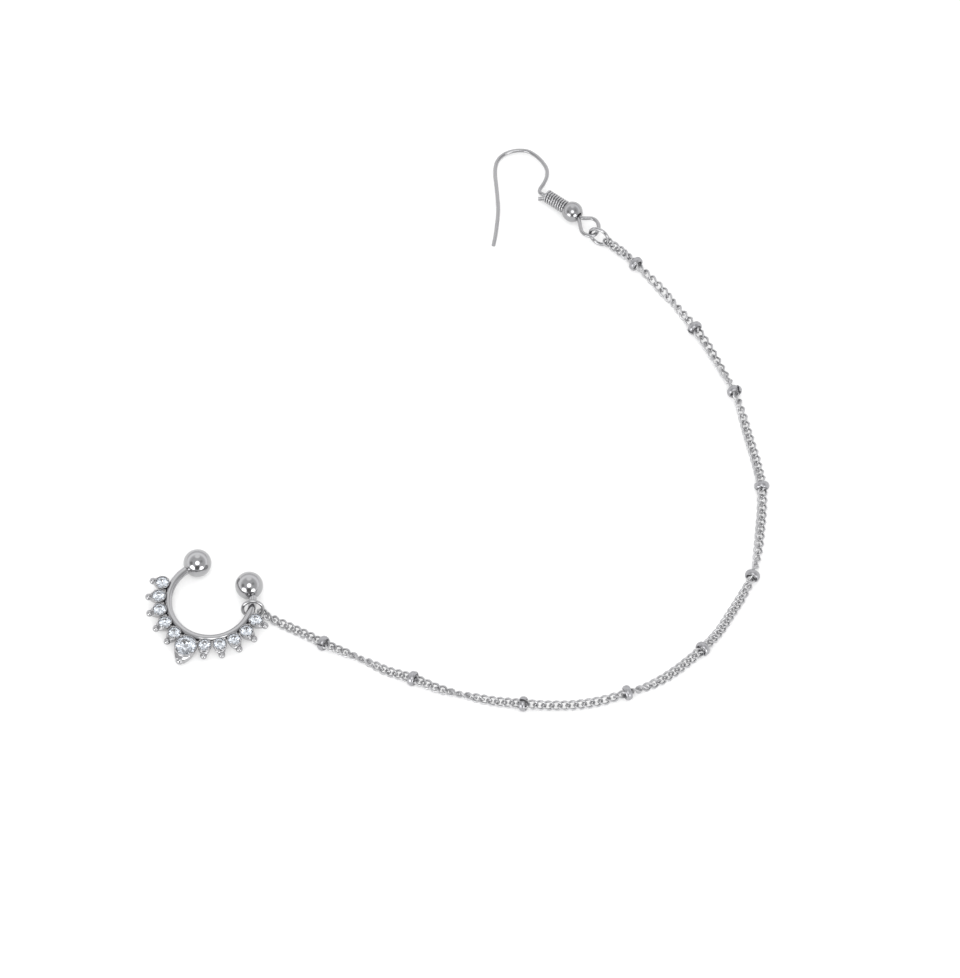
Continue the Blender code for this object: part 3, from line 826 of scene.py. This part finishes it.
def modelProng(size, angle):
    # a short post that leans over the stone's edge, with a rounded head
    thick = prongLook["thick"] + prongLook["thickPerStone"] * size["stone"]
    prong = modelSphere(thick, prongLook["sides"], (0.0, 0.0, 0.0))
    bpy.ops.object.mode_set(mode="EDIT")
    pick(prong, lambda v: v.co.z < -prongLook["headShare"] * thick)
    bpy.ops.transform.translate(value=(prongLook["lean"] * thick, 0.0, -prongLook["length"]))
    bpy.ops.object.mode_set(mode="OBJECT")
    place = Matrix.Translation((size["stone"] + prongLook["past"], 0.0, prongLook["height"]))
    prong.data.transform(Matrix.Rotation(radians(angle), 4, "Z") @ place)
    return prong


# a round brilliant whose girdle has a radius of 1: heights, and how far each kind of facet leans from flat
stoneLook = {
    "sides": 64,
    "crown": 0.30,
    "girdle": -0.06,
    "culet": -0.8,
    "mainLean": 34.3,
    "starLean": 20.0,
    "starReach": 0.517,
    "upperLean": 40.0,
    "pavilionLean": 40.5,
    "lowerLean": 42.5,
    "weld": 0.0008,
}


def modelStone():
    # cut from a short cylinder, facet by facet
    clearSelection()
    bpy.ops.mesh.primitive_cylinder_add(vertices=stoneLook["sides"], radius=1.0, depth=2.0)
    stone = bpy.context.object
    bpy.ops.object.mode_set(mode="EDIT")
    crown = stoneLook["crown"]
    girdle = stoneLook["girdle"]
    eighths = [45.0 * k for k in range(8)]
    sixteenths = [11.25 + 22.5 * k for k in range(16)]
    chord = cos(radians(11.25))
    cuts = [(0.0, 0.0, 0.0, crown)]
    cuts += [(around, stoneLook["mainLean"], 1.0, 0.0) for around in eighths]
    cuts += [(22.5 + around, stoneLook["starLean"], stoneLook["starReach"], crown) for around in eighths]
    cuts += [(around, stoneLook["upperLean"], chord, 0.0) for around in sixteenths]
    cuts += [(around, 180.0 - stoneLook["pavilionLean"], 1.0, girdle) for around in eighths]
    cuts += [(around, 180.0 - stoneLook["lowerLean"], chord, girdle) for around in sixteenths]
    for around, lean, reach, z in cuts:
        way = Matrix.Rotation(radians(around), 3, "Z") @ Vector((sin(radians(lean)), 0.0, cos(radians(lean))))
        cutAway(ringPoint(reach, around, z), way)
    cutAway((0.0, 0.0, stoneLook["culet"]), (0.0, 0.0, -1.0))
    faceOutwards(stoneLook["weld"])
    bpy.ops.object.mode_set(mode="OBJECT")
    print("stone faces", len(stone.data.polygons))
    return stone


def buildRing():
    front = ringLook["front"]
    sweep = ringLook["halfSweep"]
    parts = [modelBar(), modelBall(0, front - sweep), modelBall(1, front + sweep)]
    models = {}
    for key, size in (("small", smallSetting), ("large", largeSetting)):
        pieces = [modelCup(size), modelTip(size)]
        pieces += [modelProng(size, angle) for angle in prongLook["angles"]]
        models[key] = joinAll(pieces, key + "SettingModel")
    stone = modelStone()
    for node, size, angle in settingRows():
        model = models["large" if size is largeSetting else "small"]
        place = Matrix.Translation(ringPoint(size["circle"], angle, size["girdle"]))
        placing = place @ Matrix.Rotation(radians(angle), 4, "Z")
        cup = copyOf(model, node + "Setting")
        cup.data.transform(placing)
        parts.append(cup)
        gem = copyOf(stone, node + "Crystal")
        gem.data.transform(placing @ Matrix.Scale(size["stone"], 4))
        setDown(gem, node + "Crystal", cutCrystal, [node], ringPlace, smooth=1.0)
    for model in (*models.values(), stone):
        bpy.data.objects.remove(model, do_unlink=True)
    ring = joinAll(parts, "noseRing")
    setDown(ring, "noseRing", metals["ringSilver"], ["septum_ring"], ringPlace, smooth=40.0)


buildRing()
print("nose ring and stones placed")

# ear hook, in its own plane about the bead's middle, along a core line that coil and bead sit on (mm, degrees)
hookLook = {
    "origin": (16.67, 35.77, 1.52),
    "tilt": -6.05,
    "core": -38.6,
    "wire": 0.275,
    "wireSides": 5,
    "curveSteps": 8,
    "strand": 0.24,
    "strandStarts": (0.4, 0.45),
    "strandEnd": -0.6,
    "eyeStart": 1.3,
    "eyeAside": (-0.02, -0.42),
    "coilStart": -4.75,
    "coilEnd": -1.32,
    "coilTurns": 8.6,
    "coilWire": 0.165,
    "coilRadius": 0.83,
    "coilSides": 10,
    "coilSteps": 200,
    "bead": 1.5,
    "beadSides": (48, 32),
    "hole": 0.5,
    "flat": 0.84,
    "lip": 0.04,
}
hookRoute = (
    (-11.5, -4.98), (-11.26, -3.6), (-11.0, -1.5), (-10.82, 0.8), (-10.86, 2.4), (-11.0, 4.2), (-11.13, 5.7),
    (-11.24, 7.0), (-11.2, 8.25), (-10.88, 9.4), (-10.24, 10.2), (-9.35, 10.7), (-8.35, 10.93), (-7.4, 10.93),
    (-6.42, 10.7), (-5.57, 10.13), (-4.84, 9.4), (-4.12, 8.4), (-3.7, 7.4), (-3.66, 6.5), (-3.9, 5.62),
    (-4.28, 4.84), (-4.64, 4.25), (-4.74, 3.75), (-4.48, 3.35),
)
hookEye = (
    (1.3, -1.08), (1.75, -1.2), (2.3, -1.23), (2.85, -1.3), (3.37, -1.65), (3.72, -2.23), (3.82, -2.83),
    (3.68, -3.46), (3.35, -3.98), (2.83, -4.25), (2.33, -4.2), (1.82, -3.94), (1.43, -3.56), (1.23, -3.0),
    (1.1, -2.31), (0.98, -1.65),
)
hookTail = ((-4.95, 2.5), (-4.35, 2.48))
hookPlace = Matrix.Translation(hookLook["origin"]) @ Matrix.Rotation(radians(hookLook["tilt"]), 4, "Y")


def corePoint(distance, offset):
    angle = radians(hookLook["core"])
    return Vector((cos(angle) * distance - sin(angle) * offset, sin(angle) * distance + cos(angle) * offset, 0.0))


def alongCore():
    # turns a piece made along Z onto the core line
    return Vector((0.0, 0.0, 1.0)).rotation_difference(corePoint(1.0, 0.0)).to_matrix().to_4x4()


def bendWire(points):
    # a round wire through the points, as a Bezier curve made a mesh
    clearSelection()
    bpy.ops.curve.primitive_bezier_curve_add()
    curve = bpy.context.object.data
    curve.dimensions = "3D"
    spline = curve.splines[0]
    spline.bezier_points.add(len(points) - 2)
    for knot, place in zip(spline.bezier_points, points):
        knot.co = place
        knot.handle_left_type = "AUTO"
        knot.handle_right_type = "AUTO"
        knot.radius = 1.0
    curve.resolution_u = hookLook["curveSteps"]
    curve.bevel_depth = hookLook["wire"]
    curve.bevel_resolution = hookLook["wireSides"]
    curve.use_fill_caps = True
    bpy.ops.object.convert(target="MESH")
    wire = bpy.context.object
    bpy.ops.object.mode_set(mode="EDIT")
    faceOutwards(seamWeld)
    bpy.ops.object.mode_set(mode="OBJECT")
    return wire


def buildHook():
    # down through coil and bead, round the eye and back to the cut tail
    side = hookLook["strand"]
    start = hookLook["coilStart"]
    end = hookLook["strandEnd"]
    split = hookLook["eyeStart"]
    points = [Vector((x, y, 0.0)) for x, y in hookRoute]
    points += [corePoint(start + hookLook["strandStarts"][0], side), corePoint(end, side)]
    points += [corePoint(split, hookLook["eyeAside"][0])]
    points += [Vector((x, y, 0.0)) for x, y in hookEye]
    points += [corePoint(split, hookLook["eyeAside"][1])]
    points += [corePoint(end, -side), corePoint(start + hookLook["strandStarts"][1], -side)]
    points += [Vector((x, y, 0.0)) for x, y in reversed(hookTail)]
    setDown(bendWire(points), "earWire", metals["hookSilver"], ["ear_hook"], hookPlace, smooth=50.0)


def buildCoil():
    # fine wire wound round both strands: a circle carried round and along by a Screw
    clearSelection()
    bpy.ops.mesh.primitive_circle_add(
        vertices=hookLook["coilSides"], radius=hookLook["coilWire"], fill_type="NOTHING"
    )
    coil = bpy.context.object
    outwards = Matrix.Translation((hookLook["coilRadius"], 0.0, 0.0))
    coil.data.transform(outwards @ Matrix.Rotation(radians(90.0), 4, "X"))
    addModifier(
        coil, "SCREW", angle=2 * pi * hookLook["coilTurns"], screw_offset=hookLook["coilEnd"] - hookLook["coilStart"],
        steps=hookLook["coilSteps"], render_steps=hookLook["coilSteps"], axis="Z", use_normal_calculate=True,
    )
    bpy.ops.object.mode_set(mode="EDIT")
    pickOpenEdges()
    bpy.ops.mesh.edge_face_add()
    faceOutwards()
    bpy.ops.object.mode_set(mode="OBJECT")
    placing = hookPlace @ Matrix.Translation(corePoint(hookLook["coilStart"], 0.0)) @ alongCore()
    setDown(coil, "wireCoil", metals["coilSilver"], ["hook_coil"], placing, smooth=50.0)


def buildHookBead():
    # a ball with both ends cut flat and drilled through
    lip = hookLook["lip"]
    flatHeight = sqrt(hookLook["bead"] ** 2 - hookLook["flat"] ** 2)
    bead = modelSphere(hookLook["bead"], hookLook["beadSides"], (0.0, 0.0, 0.0))
    bpy.ops.object.mode_set(mode="EDIT")
    for way in (1.0, -1.0):
        cutAway((0.0, 0.0, flatHeight * way), (0.0, 0.0, way))
    pick(bead, lambda f: abs(f.normal.z) > 0.999, "FACE")
    bpy.ops.mesh.inset(thickness=hookLook["flat"] - hookLook["hole"] - lip)
    bpy.ops.mesh.inset(thickness=lip, depth=-lip)
    bpy.ops.mesh.delete(type="ONLY_FACE")
    pickOpenEdges()
    bpy.ops.mesh.bridge_edge_loops()
    faceOutwards()
    bpy.ops.object.mode_set(mode="OBJECT")
    placing = hookPlace @ alongCore()
    setDown(bead, "hookBead", metals["hookSilver"], ["hook_bead"], placing, smooth=30.0)


buildHook()
buildCoil()
buildHookBead()
print("ear hook, coil and bead placed")

# a tent of soft light in bands from the far side to the camera's (place, brightness), patches in it (middle, reach
# in degrees, how much darker, below 0 for brighter), round soft boxes (way, metres, size, watts) and a floor fill
studio = {
    "tent": (
        (0.0, 1.0), (0.34, 1.0), (0.42, 1.1), (0.48, 1.45), (0.6, 1.45), (0.7, 0.95), (0.8, 0.8), (1.0, 0.85),
    ),
    "tentBlue": 1.01,
    "patches": (
        ((0.0, -0.93, 0.37), 24.0, 0.68),
        ((-0.777, -0.315, 0.545), 16.0, 0.45),
        ((0.55, -0.2, 0.81), 14.0, 0.3),
        ((0.0, 0.5, 0.866), 22.0, -0.9),
    ),
    "patchTone": 0.75,
    "patchCore": 0.6,
    "boxes": (
        ("boxFrontLeft", (-0.62, -0.76, 0.18), 0.7, 0.42, 1.7),
        ("boxFrontRight", (0.49, -0.86, 0.17), 0.7, 0.38, 1.4),
        ("boxAbove", towardsCamera, 1.7, 1.05, 7.0),
    ),
    "fill": 3.7,
    "fillAngle": 120.0,
}
floorLook = {
    "size": 6.0,
    "tone": 0.85,
    "grainTone": 0.98,
    "grainScale": 900.0,
    "rough": 0.9,
}


def buildFloor():
    clearSelection()
    bpy.ops.mesh.primitive_plane_add(size=floorLook["size"])
    floor = bpy.context.object
    floor.name = "paleFloor"
    made, nodes, links, shader = newMaterial("palePaper")
    setInputs(shader, {"Specular IOR Level": 0.0, "Roughness": floorLook["rough"]})
    where = nodes.new("ShaderNodeTexCoord")
    grain = setInputs(nodes.new("ShaderNodeTexNoise"), {"Scale": floorLook["grainScale"]})
    links.new(where.outputs["Object"], grain.inputs["Vector"])
    tone = floorLook["tone"]
    tint = mixColours(nodes, links, grain.outputs["Fac"], [tone * floorLook["grainTone"]] * 3, [tone] * 3)
    links.new(tint, shader.inputs["Base Color"])
    floor.data.materials.append(made)


def buildTent():
    # the tent lights and mirrors in the metal, and leaves the floor to its fill
    world = bpy.data.worlds.new("softTent")
    bpy.context.scene.world = world
    world.cycles_visibility.diffuse = False
    world.use_nodes = True
    nodes = world.node_tree.nodes
    links = world.node_tree.links
    nodes.clear()
    where = nodes.new("ShaderNodeTexCoord")

    def nearness(way, low, high):
        # 0 to 1 as a direction comes nearer to this way, between two cosines
        toward = nodes.new("ShaderNodeVectorMath")
        toward.operation = "DOT_PRODUCT"
        toward.inputs[1].default_value = Vector(way).normalized()
        links.new(where.outputs["Generated"], toward.inputs[0])
        return remap(nodes, links, toward.outputs["Value"], low, high)

    bands = nodes.new("ShaderNodeValToRGB")
    while len(bands.color_ramp.elements) < len(studio["tent"]):
        bands.color_ramp.elements.new(0.5)
    for stop, (place, value) in zip(bands.color_ramp.elements, studio["tent"]):
        stop.position = place
        stop.color = (value, value, value * studio["tentBlue"], 1.0)
    links.new(nearness(towardsCamera, -1.0, 1.0), bands.inputs["Fac"])
    colour = bands.outputs["Color"]
    for way, reach, depth in studio["patches"]:
        near = nearness(way, cos(radians(reach)), cos(radians(reach * studio["patchCore"])))
        colour = mixColours(nodes, links, near, colour, [studio["patchTone"] * (1.0 - depth)] * 3)
    glow = nodes.new("ShaderNodeBackground")
    links.new(colour, glow.inputs["Color"])
    out = nodes.new("ShaderNodeOutputWorld")
    links.new(glow.outputs["Background"], out.inputs["Surface"])


def buildLamps():
    for name, way, distance, size, power in studio["boxes"]:
        clearSelection()
        bpy.ops.object.light_add(type="AREA")
        lamp = bpy.context.object
        lamp.name = name
        lamp.data.shape = "DISK"
        lamp.data.size = size
        lamp.data.energy = power
        lamp.location = Vector(way).normalized() * distance
        lamp.rotation_euler = Vector(way).to_track_quat("Z", "Y").to_euler()
    # the fill lights the floor from above, casts no shadow and isn't mirrored in the metal
    clearSelection()
    bpy.ops.object.light_add(type="SUN", rotation=(0.0, 0.0, 0.0))
    fill = bpy.context.object
    fill.name = "floorFill"
    fill.data.energy = studio["fill"]
    fill.data.angle = radians(studio["fillAngle"])
    fill.data.use_shadow = False
    fill.visible_glossy = False
    bpy.context.scene.view_settings.view_transform = "Standard"


buildFloor()
buildTent()
buildLamps()
print("floor and light set")
